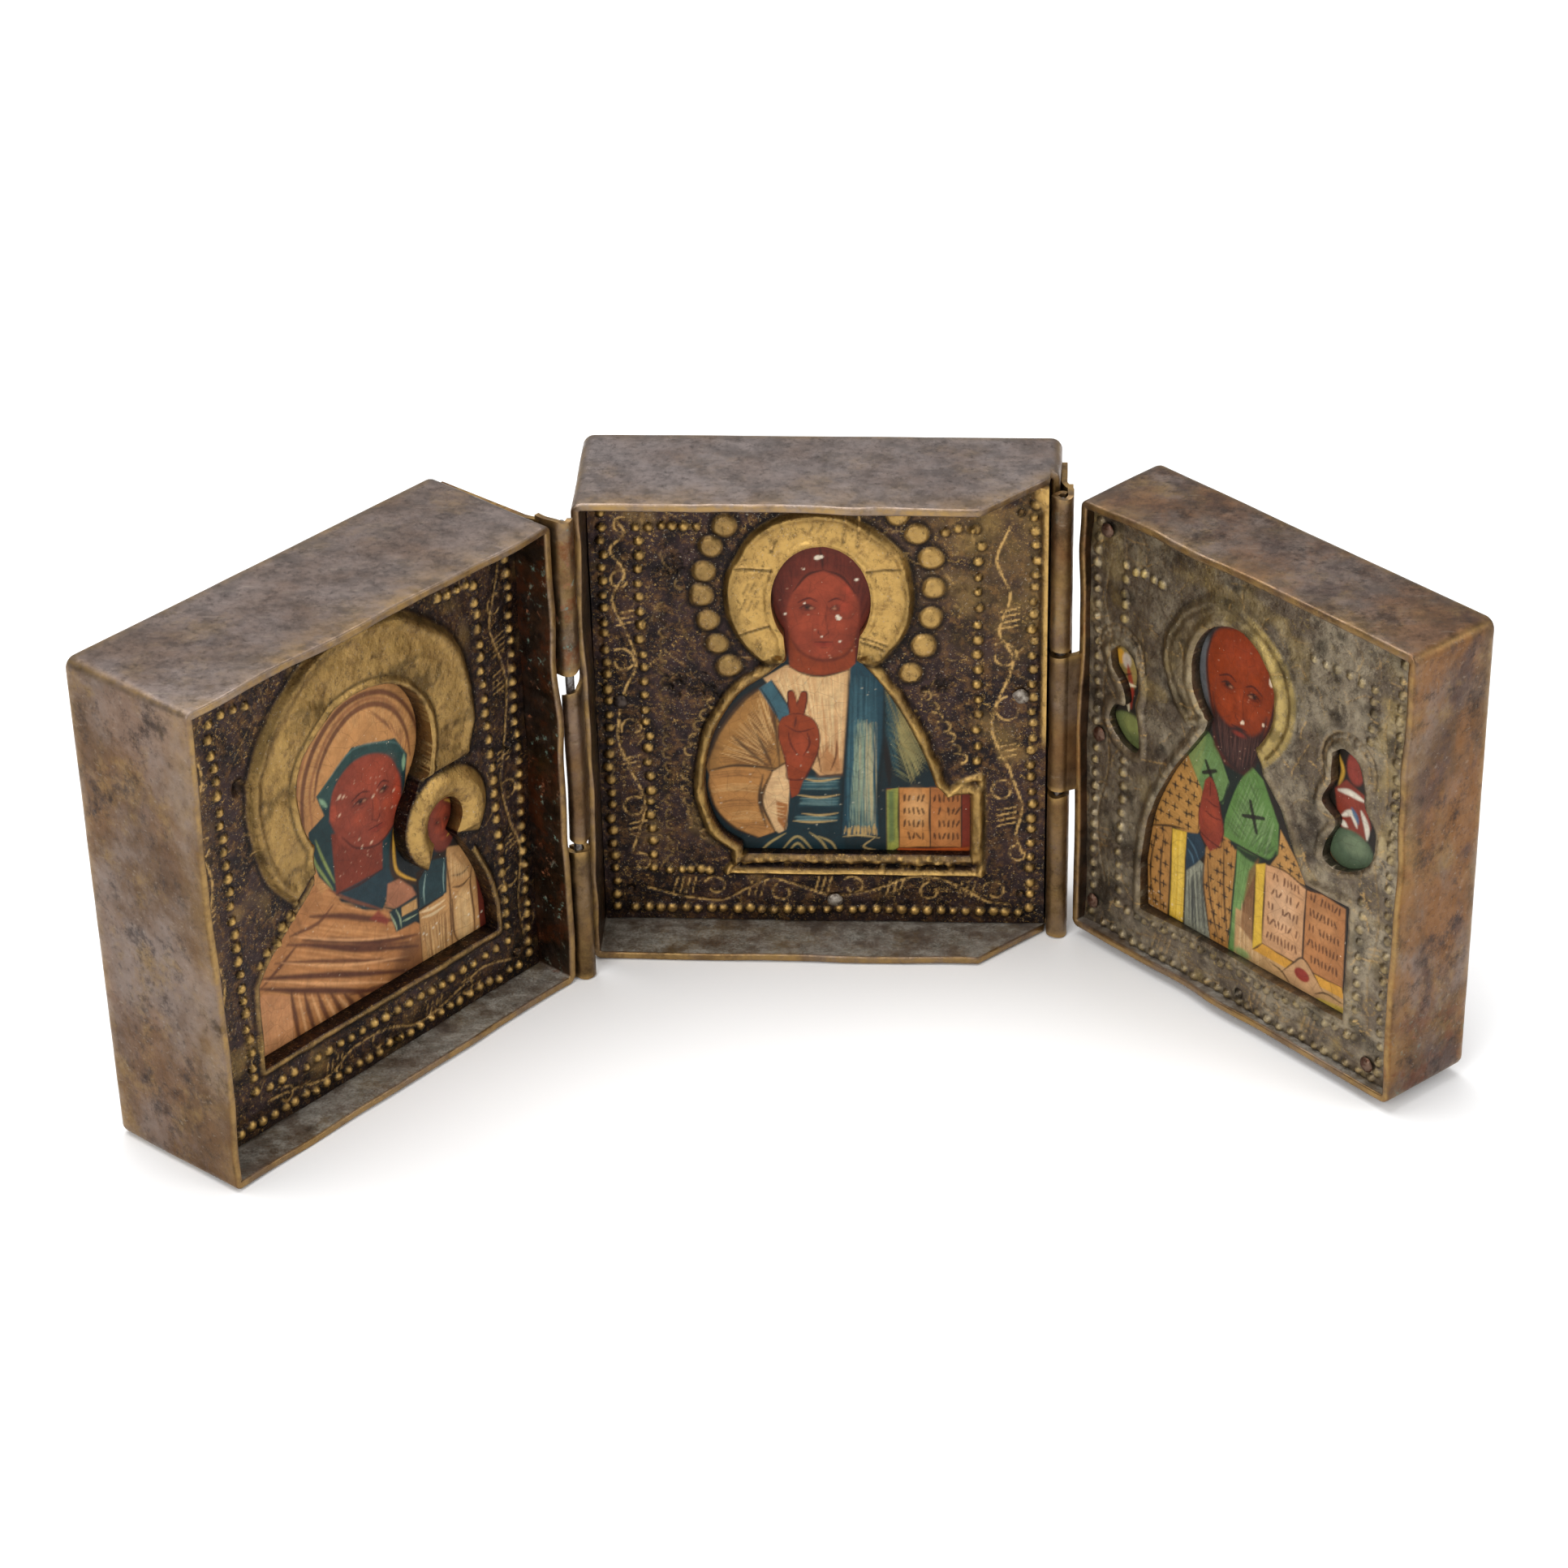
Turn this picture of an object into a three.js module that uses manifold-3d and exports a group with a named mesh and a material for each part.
// Travelling triptych of sheet brass: a middle case with two hinged wings.
// Millimetres, +Z up, front towards -Y. The origin is the middle of the underside of the middle case.
// Each case is a shallow tray that holds a wooden panel and, in front of it, an embossed metal cover
// with an opening for the painting. The right wing folds into the middle case, the left wing over both.

import * as THREE from 'three';
import { mergeVertices } from 'three/addons/utils/BufferGeometryUtils.js';
import Module from 'manifold-3d';

const wasm = await Module();
wasm.setup();

// Clearances
const GAP = 0.3; // between pieces that touch or turn
const FOLD_GAP = 0.7; // between relief and the wing that folds over it

// Sheet metal
const WALL = 1.1; // walls and backs of the middle and left cases
const RIGHT_WALL = 1.0; // walls and back of the right case
const CORNER = 1.6; // outer bend of the cases
const SHEET = 0.5; // embossed covers
const RELIEF = 1.0; // room for relief in front of a cover's ground

// Middle case
const WIDTH = 63.3;
const HEIGHT = 70;
const DEPTH = 20.6;
const RECESS = 9.0; // front edge to the cover's ground
const CHAMFER = 10.6; // how far the top and bottom are cut back at the front right

// Left wing
const LEFT_WIDTH = 62.9;
const LEFT_DEPTH = 21.9;
const LEFT_ANGLE = 52.4; // turned forward from lying flat beside the middle case

// Right wing
const RIGHT_WIDTH = 58.65;
const RIGHT_DEPTH = 14.6;
const RIGHT_RECESS = 1.5;
const RIGHT_ANGLE = 46.2;
const RIGHT_TOP_GAP = 1.5; // under the middle case's top, so that the wing swings in

// Panels behind the covers
const PANEL_SETBACK = 1.5; // cover's ground to the panel's face
const LEFT_PANEL_SETBACK = 2.4;

// Hinges
const LEAF = 1.1; // leaf plates
const KNUCKLE = 1.45; // outer radius of the rolled knuckles
const BORE = 0.9; // radius inside the knuckles
const LEFT_STAND_OFF = 3.4; // left hinge line in front of the middle case
const LEFT_LAP = 0.6; // left wing's front ahead of its hinge line
const RIGHT_LAP = 1.4; // right wing's front behind its hinge line
const LEFT_KNUCKLES = [20.5, 21, 45, 48]; // end of the bottom one, the middle one, start of the top one
const RIGHT_KNUCKLES = [22.7, 23, 44.2, 44.5];
const LEAF_RELIEF = 1.6; // leaf cut back behind the other side's knuckle

// Embossing
const BEAD = 0.75; // half width of a bead
const BEAD_PITCH = 2.25;
const BEAD_RISE = 0.55;
const COIN = 1.55; // discs round the middle halo
const COIN_RISE = 0.6;
const HALO_RISE = 0.7;
const RIM_RISE = 0.9;
const RIM = 1.6; // rolled rim round the middle opening
const BORDER = 2.0; // edge of a cover to its outer row of beads

// Nails
const NAIL_SHANK = 0.35;
const NAIL_HEAD = 1.0;
const NAIL_DOME = 0.45;
const NAIL_DEPTH = 4; // length in the wood

// Worked out from the sizes above
const PIN = BORE - GAP;
const NAIL_HOLE = NAIL_SHANK + GAP;
const KNUCKLE_CLEAR = KNUCKLE + GAP;
const RIGHT_SET_BACK = RECESS - RELIEF - FOLD_GAP + RIGHT_LAP;
const RIGHT_SIDE = Math.sqrt(KNUCKLE_CLEAR ** 2 - RIGHT_LAP ** 2);
const RIGHT_BOTTOM = WALL + GAP;
const RIGHT_HEIGHT = HEIGHT - WALL - RIGHT_TOP_GAP - RIGHT_BOTTOM;
const FOLDED_BACK = RIGHT_SET_BACK - RIGHT_LAP - RIGHT_DEPTH;
const LEFT_RECESS = LEFT_LAP - LEFT_STAND_OFF - FOLDED_BACK + RELIEF + FOLD_GAP;
const LEFT_HINGE = { x: WALL - KNUCKLE, y: -LEFT_STAND_OFF };
const RIGHT_HINGE = { x: WIDTH + GAP + LEAF - KNUCKLE, y: RIGHT_SET_BACK };

const brass = new THREE.MeshStandardMaterial({ color: 0x7a6a55, roughness: 0.5, metalness: 0.9 });
const darkBrass = new THREE.MeshStandardMaterial({ color: 0x4a3b33, roughness: 0.5, metalness: 0.8 });
const greyBrass = new THREE.MeshStandardMaterial({ color: 0x8b8272, roughness: 0.5, metalness: 0.9 });
const paintedWood = new THREE.MeshStandardMaterial({ color: 0xb98a52, roughness: 0.6, metalness: 0 });
const iron = new THREE.MeshStandardMaterial({ color: 0x6f6a66, roughness: 0.6, metalness: 0.8 });

// A closed solid from a geometry, with its shared corners merged.
function solid(geometry) {
  geometry.deleteAttribute('normal');
  geometry.deleteAttribute('uv');
  const merged = mergeVertices(geometry, 1e-4);
  return new wasm.Manifold(new wasm.Mesh({
    numProp: 3,
    vertProperties: new Float32Array(merged.attributes.position.array),
    triVerts: new Uint32Array(merged.index.array),
  }));
}

const join = (solids) => solids.reduce((whole, next) => whole.add(next));
const cut = (whole, tools) => tools.reduce((left, tool) => left.subtract(tool), whole);

// A named mesh from a solid.
function piece(name, body, material) {
  const { vertProperties, triVerts } = body.getMesh();
  const geometry = new THREE.BufferGeometry();
  geometry.setAttribute('position', new THREE.BufferAttribute(vertProperties, 3));
  geometry.setIndex(new THREE.BufferAttribute(triVerts, 1));
  geometry.computeVertexNormals();
  const mesh = new THREE.Mesh(geometry, material);
  mesh.name = name;
  return mesh;
}

// A shape drawn in x and z, carried back from y = front.
function facing(shape, front, depth, curveSegments = 3) {
  const geometry = new THREE.ExtrudeGeometry(shape, { depth, bevelEnabled: false, curveSegments });
  return solid(geometry.rotateX(Math.PI / 2).translate(0, front + depth, 0));
}

// A shape drawn in plan, carried up from z = bottom to z = top.
function upright(shape, bottom, top, curveSegments = 3) {
  const depth = top - bottom;
  const geometry = new THREE.ExtrudeGeometry(shape, { depth, bevelEnabled: false, curveSegments });
  return solid(geometry.translate(0, 0, bottom));
}

function box(x0, x1, y0, y1, z0, z1) {
  const geometry = new THREE.BoxGeometry(x1 - x0, y1 - y0, z1 - z0);
  return solid(geometry.translate((x0 + x1) / 2, (y0 + y1) / 2, (z0 + z1) / 2));
}

// A round rod along the depth, which may taper, from y = front with one radius to y = back with another.
function rod(x, z, front, back, frontRadius, backRadius = frontRadius) {
  const geometry = new THREE.CylinderGeometry(backRadius, frontRadius, back - front, 8);
  return solid(geometry.translate(x, (front + back) / 2, z));
}

const polygon = (points) => new THREE.Shape(points.map(([x, y]) => new THREE.Vector2(x, y)));

// A rectangle with round corners.
function roundedRectangle(x0, z0, x1, z1, radius) {
  const shape = new THREE.Shape();
  shape.absarc(x1 - radius, z1 - radius, radius, 0, Math.PI / 2);
  shape.absarc(x0 + radius, z1 - radius, radius, Math.PI / 2, Math.PI);
  shape.absarc(x0 + radius, z0 + radius, radius, Math.PI, 1.5 * Math.PI);
  shape.absarc(x1 - radius, z0 + radius, radius, 1.5 * Math.PI, 2 * Math.PI);
  return shape;
}

// An arc of an ellipse as points, from one angle in degrees to another, in even steps.
function arc([x, z], across, up, from, to, step = 12) {
  const steps = Math.round(Math.abs(to - from) / step);
  return Array.from({ length: steps + 1 }, (_, i) => {
    const angle = THREE.MathUtils.degToRad(from + (to - from) * i / steps);
    return [x + across * Math.cos(angle), z + up * Math.sin(angle)];
  });
}

// A smooth curve through a few points, as more points.
function curve(...points) {
  const spline = new THREE.SplineCurve(points.map(([x, z]) => new THREE.Vector2(x, z)));
  return spline.getPoints((points.length - 1) * 3).map((point) => [point.x, point.y]);
}

// The outline moved outwards by a distance, along the normal at each of its points.
function grown(points, distance) {
  const corners = points.map(([x, z]) => new THREE.Vector2(x, z));
  const turn = THREE.ShapeUtils.isClockWise(corners) ? -1 : 1;
  return corners.map((corner, i) => {
    const along = corners[(i + 1) % corners.length].clone().sub(corners.at(i - 1)).normalize();
    return [corner.x + turn * along.y * distance, corner.y - turn * along.x * distance];
  });
}

// A tray open to the front, with its left side at x = 0 and standing on z = 0.
function tray(width, height, depth, wall) {
  const outer = roundedRectangle(0, 0, width, height, CORNER);
  const inner = roundedRectangle(wall, wall, width - wall, height - wall, CORNER - wall);
  return facing(outer, 0, depth).subtract(facing(inner, -1, depth - wall + 1));
}

// Embossed forms stand forward from a cover's ground and reach half way into the sheet.
const ROOT = SHEET / 2;

// A low four-sided bead.
function bead(x, z, ground) {
  const height = BEAD_RISE + ROOT;
  const geometry = new THREE.ConeGeometry(BEAD, height, 4, 1);
  return solid(geometry.rotateX(Math.PI).translate(x, ground + ROOT - height / 2, z));
}

// Beads evenly spaced from one point to another, both ends filled.
function beadRow([x0, z0], [x1, z1], ground) {
  const count = Math.round(Math.hypot(x1 - x0, z1 - z0) / BEAD_PITCH);
  return Array.from({ length: count + 1 }, (_, i) => {
    const share = i / count;
    return bead(x0 + (x1 - x0) * share, z0 + (z1 - z0) * share, ground);
  });
}

// Four rows round a rectangle, with each corner filled once.
function beadFrame(x0, z0, x1, z1, ground) {
  return [
    ...beadRow([x0, z0], [x0, z1], ground),
    ...beadRow([x1, z0], [x1, z1], ground),
    ...beadRow([x0 + BEAD_PITCH, z0], [x1 - BEAD_PITCH, z0], ground),
    ...beadRow([x0 + BEAD_PITCH, z1], [x1 - BEAD_PITCH, z1], ground),
  ];
}

// A raised flat form whose edge slopes back to the ground.
function raised(points, rise, ground) {
  const slope = rise / 2;
  const geometry = new THREE.ExtrudeGeometry(polygon(points), {
    depth: rise - slope + ROOT, bevelEnabled: true, bevelThickness: slope, bevelSize: slope,
    bevelOffset: -slope, bevelSegments: 1,
  });
  const behind = box(-WIDTH, 2 * WIDTH, ground + ROOT, ground + RECESS, -HEIGHT, 2 * HEIGHT);
  return solid(geometry.rotateX(Math.PI / 2).translate(0, ground + ROOT, 0)).subtract(behind);
}

// The plain sheet of a cover, its edge turned back towards the panel.
function coverSheet(x0, z0, x1, z1, ground, setback) {
  const plate = box(x0, x1, ground, ground + setback - GAP, z0, z1);
  const hollow = box(x0 + SHEET, x1 - SHEET, ground + SHEET, ground + setback, z0 + SHEET, z1 - SHEET);
  return plate.subtract(hollow);
}

// Holes through a cover for its painting and its nails.
function openings(outlines, nails, ground, setback) {
  return [
    ...outlines.map((points) => facing(polygon(points), ground - 2 * RELIEF, setback + 3 * RELIEF)),
    ...nails.map(([x, z]) => rod(x, z, ground - 2 * RELIEF, ground + setback, NAIL_HOLE)),
  ];
}

// A wooden panel with a blind hole for each nail.
function panel(x0, z0, x1, z1, front, back, nails) {
  const holes = nails.map(([x, z]) => rod(x, z, front - 1, front + NAIL_DEPTH + GAP, NAIL_HOLE));
  return cut(box(x0, x1, front, back, z0, z1), holes);
}

// A domed nail, its head just off the cover and its shank in the panel's hole.
function nail([x, z], ground, face) {
  const head = rod(x, z, ground - GAP - NAIL_DOME, ground - GAP, NAIL_HEAD / 2, NAIL_HEAD);
  const shank = rod(x, z, ground - GAP - NAIL_DOME / 2, face + NAIL_DEPTH, NAIL_SHANK);
  return head.add(shank);
}

// A rolled knuckle round an upright line, solid until its bore is cut.
function knuckle({ x, y }, bottom, top) {
  const ring = new THREE.Shape();
  ring.absarc(x, y, KNUCKLE, 0, 2 * Math.PI);
  return upright(ring, bottom, top, 12);
}

function boreThrough({ x, y }) {
  const ring = new THREE.Shape();
  ring.absarc(x, y, BORE, 0, 2 * Math.PI);
  return upright(ring, -1, HEIGHT + 1, 10);
}

// A hinge wire standing in its knuckles, just short of their ends.
function hingeWire({ x, y }) {
  const round = new THREE.Shape();
  round.absarc(x, y, PIN, 0, 2 * Math.PI);
  return upright(round, GAP, HEIGHT - GAP, 10);
}

// A leaf from x0 to x1 in plan that ends in a bottom and a top knuckle, with room between them.
function leaf(hinge, x0, x1, back, knuckleEnds) {
  const [bottomEnd, topStart] = [knuckleEnds[0], knuckleEnds[3]];
  const plate = box(x0, x1, hinge.y, back, 0, HEIGHT);
  const room = box(x0 - 1, x1 + 1, hinge.y - 1, hinge.y + KNUCKLE + LEAF_RELIEF, bottomEnd, topStart);
  const knuckles = [knuckle(hinge, 0, bottomEnd), knuckle(hinge, topStart, HEIGHT)];
  return cut(join([plate.subtract(room), ...knuckles]), [boreThrough(hinge)]);
}

// Middle case: x from 0 at its left side, y from 0 at its front edge.
function middleCase() {
  const clearOfKnuckle = RIGHT_HINGE.x - KNUCKLE_CLEAR;
  const behindKnuckle = RIGHT_SET_BACK + KNUCKLE_CLEAR;
  const chamfer = upright(polygon([
    [WIDTH - CHAMFER, 0], [WIDTH - CHAMFER, -1], [WIDTH + 1, -1],
    [WIDTH + 1, behindKnuckle], [clearOfKnuckle, behindKnuckle], [clearOfKnuckle, RIGHT_SET_BACK],
  ]), -1, HEIGHT + 1);
  const [, bottom, top] = LEFT_KNUCKLES;
  const tab = box(0, WALL, LEFT_HINGE.y, WALL, bottom, top);
  const body = join([tray(WIDTH, HEIGHT, DEPTH, WALL), tab, knuckle(LEFT_HINGE, bottom, top)]);
  return cut(body, [chamfer, boreThrough(LEFT_HINGE)]);
}

// The figures and ornament of a cover are drawn in hundredths of its case's width and height.
const drawnOn = (width, height) => ([x, z]) => [x * width / 100, z * height / 100];
const onMiddle = drawnOn(WIDTH, HEIGHT);
const onLeft = drawnOn(LEFT_WIDTH, HEIGHT);
const onRight = drawnOn(RIGHT_WIDTH, RIGHT_HEIGHT);

// Middle cover. Its opening is a head on a robe, with a step at the lower right for a book.
const MIDDLE = {
  left: WALL + GAP,
  right: RIGHT_HINGE.x - KNUCKLE_CLEAR,
  bottom: WALL + GAP,
  top: HEIGHT - WALL - GAP,
  halo: onMiddle([49.9, 74.3]),
  haloRadius: 12.8,
  nails: [[7.4, 51.1], [91.9, 53.3], [52.1, 7.0]].map(onMiddle),
  beadRows: [
    [[13.9, 13.4], [13.9, 88.6]], [[82.8, 39.4], [82.8, 88.6]], [[17.5, 88.6], [24.6, 88.6]],
    [[75.2, 88.6], [79.2, 88.6]], [[17.5, 13.4], [25.1, 13.4]],
  ],
};

function middleCover() {
  const { left, right, bottom, top, halo, haloRadius, nails, beadRows } = MIDDLE;
  const robe = [
    ...curve([42.7, 60.7], [38.5, 57.3], [32.4, 52.9], [27.3, 45.0], [25.1, 37.1], [25.1, 29.3],
      [27.8, 22.6], [32.5, 19.1]),
    [32.2, 17.4], [81.2, 17.4], [81.2, 31.4], [76.3, 30.9], [73.9, 33.1],
    ...curve([72.0, 38.6], [68.2, 46.4], [64.8, 52.1], [61.3, 56.9], [57.5, 60.9]),
  ].map(onMiddle);
  const head = arc([50.2, 73.7], 10.4, 11.6, -40, 220).map(onMiddle);
  const neck = [[42.7, 62.9], [57.3, 62.9]].map(onMiddle);
  const sill = [[28.4, 12.9], [84.5, 12.9], [84.5, 18.0], [31.6, 18.0]].map(onMiddle);
  const coinRing = haloRadius + 2 * COIN;
  const coins = [
    ...arc(halo, coinRing, coinRing, -44, 50, 13.5),
    ...arc(halo, coinRing, coinRing, 128, 222, 13.5),
  ].map(([x, z]) => rod(x, z, RECESS - COIN_RISE, RECESS + ROOT, COIN * 0.8, COIN));
  const forms = [
    raised([...arc(halo, haloRadius, haloRadius, -52, 232), ...neck], HALO_RISE, RECESS),
    raised(grown(robe, RIM), RIM_RISE, RECESS),
    raised(sill, RIM_RISE, RECESS),
    ...coins,
    ...beadFrame(left + BORDER, bottom + BORDER, right - BORDER, top - BORDER, RECESS),
    ...beadRows.flatMap(([from, to]) => beadRow(onMiddle(from), onMiddle(to), RECESS)),
  ];
  const sheet = coverSheet(left, bottom, right, top, RECESS, PANEL_SETBACK);
  return cut(join([sheet, ...forms]), openings([[...robe, ...head]], nails, RECESS, PANEL_SETBACK));
}

// Left cover. Its opening is a veiled head and a mantle, with a child's smaller head at the right.
const LEFT = {
  left: WALL + GAP,
  right: LEFT_WIDTH - WALL - GAP,
  bottom: WALL + GAP,
  top: HEIGHT - WALL - GAP,
  halo: onLeft([51.8, 66.1]),
  haloRadius: 20.0,
  childHalo: onLeft([73.4, 45.3]),
  childHaloRadius: 7.4,
  emptyHoles: [[92.2, 53.1], [54.5, 8.0], [90.9, 7.7]].map(onLeft),
  beadRows: [
    [[14.6, 11.0], [14.6, 90.6]], [[86.8, 11.0], [86.8, 90.6]], [[18.2, 11.0], [83.2, 11.0]],
    [[18.2, 90.6], [23.1, 90.6]], [[74.4, 90.6], [83.2, 90.6]], [[19.7, 38.0], [29.9, 46.3]],
  ],
};

function leftCover() {
  const { left, right, bottom, top, halo, haloRadius, childHalo, childHaloRadius } = LEFT;
  const opening = [
    ...[[18.9, 14.9], [85.9, 14.9]].map(onLeft),
    ...curve([85.7, 20.3], [83.6, 27.9], [79.8, 35.1], [76.2, 40.3]).map(onLeft),
    ...arc([73.1, 44.6], 5.1, 4.9, -50, 226).map(onLeft),
    ...arc(childHalo, childHaloRadius, childHaloRadius, 238, 134),
    ...arc([51.4, 65.1], 18.8, 16.1, -37, 217).map(onLeft),
    ...curve([35.5, 51.4], [36.4, 47.1], [29.4, 41.7], [23.2, 37.1], [19.4, 32.6]).map(onLeft),
  ];
  const neck = [[38.2, 48.6], [65.8, 53.7]].map(onLeft);
  const childArc = arc(childHalo, childHaloRadius, childHaloRadius, -40, 238);
  const forms = [
    raised([...arc(halo, haloRadius, haloRadius, -22, 228), ...neck], HALO_RISE, LEFT_RECESS),
    raised([...childArc, onLeft([73.9, 41.4])], RIM_RISE, LEFT_RECESS),
    ...beadFrame(left + BORDER, bottom + BORDER, right - BORDER, top - BORDER, LEFT_RECESS),
    ...LEFT.beadRows.flatMap(([from, to]) => beadRow(onLeft(from), onLeft(to), LEFT_RECESS)),
  ];
  const sheet = coverSheet(left, bottom, right, top, LEFT_RECESS, LEFT_PANEL_SETBACK);
  const holes = openings([opening], LEFT.emptyHoles, LEFT_RECESS, LEFT_PANEL_SETBACK);
  return cut(join([sheet, ...forms]), holes);
}

// Right cover, worn flat. Its opening is a bearded figure with a book, between two small figures.
const RIGHT = {
  left: RIGHT_WALL + GAP,
  right: RIGHT_WIDTH - RIGHT_WALL - GAP,
  bottom: RIGHT_WALL + GAP,
  top: RIGHT_HEIGHT - RIGHT_WALL - GAP,
  halo: onRight([45.7, 73.6]),
  haloRadius: 11.8,
  nails: [[7.8, 93.9], [6.5, 47.4], [5.5, 7.3], [91.4, 5.5]].map(onRight),
  emptyHole: onRight([52.0, 4.5]),
  beadRows: [
    [[13.6, 9.4], [13.6, 43.9]], [[13.6, 75.8], [13.6, 87.9]], [[87.0, 9.4], [87.0, 40.9]],
    [[17.4, 9.4], [83.2, 9.4]], [[17.4, 87.9], [24.4, 87.9]],
  ],
};

function rightCover() {
  const { left, right, bottom, top, halo, haloRadius, nails, emptyHole, beadRows } = RIGHT;
  const opening = [
    [21.1, 12.1], [83.5, 12.1], [83.5, 38.2], [70.9, 38.2],
    ...curve([66.8, 44.4], [61.9, 52.0], [56.6, 57.3]),
    ...arc([47.1, 73.0], 12.4, 13.0, -50, 232),
    ...curve([38.5, 60.0], [35.1, 55.2], [28.3, 46.2], [22.8, 34.8], [20.5, 22.7]),
  ].map(onRight);
  const leftFigure = curve(
    [9.2, 67.4], [12.8, 70.0], [17.1, 67.4], [18.1, 62.1], [17.4, 57.6], [18.8, 50.8], [17.7, 47.1],
    [12.8, 47.9], [9.2, 51.8], [10.6, 55.6], [14.0, 56.7], [13.0, 60.9], [9.9, 63.9]).map(onRight);
  const rightFigure = curve(
    [76.4, 70.0], [79.8, 72.1], [83.9, 70.9], [85.9, 66.7], [86.6, 61.8], [89.7, 56.1], [88.0, 49.4],
    [81.0, 45.3], [75.7, 46.1], [76.0, 50.3], [78.3, 55.3], [74.3, 58.6], [76.6, 63.6]).map(onRight);
  const neck = [[39.2, 63.6], [54.6, 63.6]].map(onRight);
  const forms = [
    raised([...arc(halo, haloRadius, haloRadius, -55, 233), ...neck], HALO_RISE, RIGHT_RECESS),
    ...beadRows.flatMap(([from, to]) => beadRow(onRight(from), onRight(to), RIGHT_RECESS)),
  ];
  const sheet = coverSheet(left, bottom, right, top, RIGHT_RECESS, PANEL_SETBACK);
  const holes = openings(
    [opening, leftFigure, rightFigure], [...nails, emptyHole], RIGHT_RECESS, PANEL_SETBACK);
  return cut(join([sheet, ...forms]), holes);
}

// Right case with the middle knuckle of its hinge, in the wing's own frame.
function rightCase() {
  const hinge = { x: -RIGHT_SIDE, y: -RIGHT_LAP };
  const [, bottomEnd, topEnd] = RIGHT_KNUCKLES;
  const [bottom, top] = [bottomEnd - RIGHT_BOTTOM, topEnd - RIGHT_BOTTOM];
  const web = upright(polygon([
    [hinge.x + KNUCKLE - LEAF, hinge.y], [hinge.x + KNUCKLE, hinge.y], [RIGHT_WALL, 0],
    [RIGHT_WALL, LEAF], [0, LEAF], [hinge.x + KNUCKLE - LEAF, 0],
  ]), bottom, top);
  const body = join([tray(RIGHT_WIDTH, RIGHT_HEIGHT, RIGHT_DEPTH, RIGHT_WALL), web,
    knuckle(hinge, bottom, top)]);
  return cut(body, [boreThrough(hinge)]);
}

// Middle
const middle = new THREE.Group();
middle.position.set(-WIDTH / 2, -DEPTH / 2, 0);
const middleFace = RECESS + PANEL_SETBACK;
middle.add(
  piece('centre_case', middleCase(), brass),
  piece('centre_cover', middleCover(), darkBrass),
  piece('centre_panel', panel(MIDDLE.left, MIDDLE.bottom, MIDDLE.right, MIDDLE.top,
    middleFace, DEPTH - WALL - GAP, MIDDLE.nails), paintedWood),
  piece('right_hinge_leaf', leaf(RIGHT_HINGE, WIDTH + GAP, WIDTH + GAP + LEAF, DEPTH,
    RIGHT_KNUCKLES), brass),
  piece('right_hinge_wire', hingeWire(RIGHT_HINGE), iron),
);
['left', 'right', 'bottom'].forEach((side, i) => {
  middle.add(piece(`centre_nail_${side}`, nail(MIDDLE.nails[i], RECESS, middleFace), iron));
});

// Left wing, turned about its hinge line. Its own x runs from 0 at the free edge.
const leftWing = new THREE.Group();
const leftTray = new THREE.Group();
leftWing.position.set(LEFT_HINGE.x, LEFT_HINGE.y, 0);
leftWing.rotation.z = THREE.MathUtils.degToRad(LEFT_ANGLE);
leftTray.position.set(-KNUCKLE_CLEAR - LEFT_WIDTH, -LEFT_LAP, 0);
leftTray.add(
  piece('left_case', tray(LEFT_WIDTH, HEIGHT, LEFT_DEPTH, WALL), brass),
  piece('left_cover', leftCover(), darkBrass),
  piece('left_panel', panel(LEFT.left, LEFT.bottom, LEFT.right, LEFT.top,
    LEFT_RECESS + LEFT_PANEL_SETBACK, LEFT_DEPTH - WALL - GAP, []), paintedWood),
);
leftWing.add(
  leftTray,
  piece('left_hinge_leaf', leaf({ x: 0, y: 0 }, -KNUCKLE, -KNUCKLE + LEAF, LEFT_DEPTH - LEFT_LAP,
    LEFT_KNUCKLES), brass),
  piece('left_hinge_wire', hingeWire({ x: 0, y: 0 }), iron),
);
middle.add(leftWing);

// Right wing. Its own x runs from 0 at the hinge side.
const rightWing = new THREE.Group();
const rightTray = new THREE.Group();
const rightFace = RIGHT_RECESS + PANEL_SETBACK;
rightWing.position.set(RIGHT_HINGE.x, RIGHT_HINGE.y, 0);
rightWing.rotation.z = THREE.MathUtils.degToRad(-RIGHT_ANGLE);
rightTray.position.set(RIGHT_SIDE, RIGHT_LAP, RIGHT_BOTTOM);
rightTray.add(
  piece('right_case', rightCase(), brass),
  piece('right_cover', rightCover(), greyBrass),
  piece('right_panel', panel(RIGHT.left, RIGHT.bottom, RIGHT.right, RIGHT.top,
    rightFace, RIGHT_DEPTH - RIGHT_WALL - GAP, RIGHT.nails), paintedWood),
);
['top_left', 'left', 'bottom_left', 'bottom_right'].forEach((corner, i) => {
  rightTray.add(piece(`right_nail_${corner}`, nail(RIGHT.nails[i], RIGHT_RECESS, rightFace), iron));
});
rightWing.add(rightTray);
middle.add(rightWing);

export default new THREE.Group().add(middle);
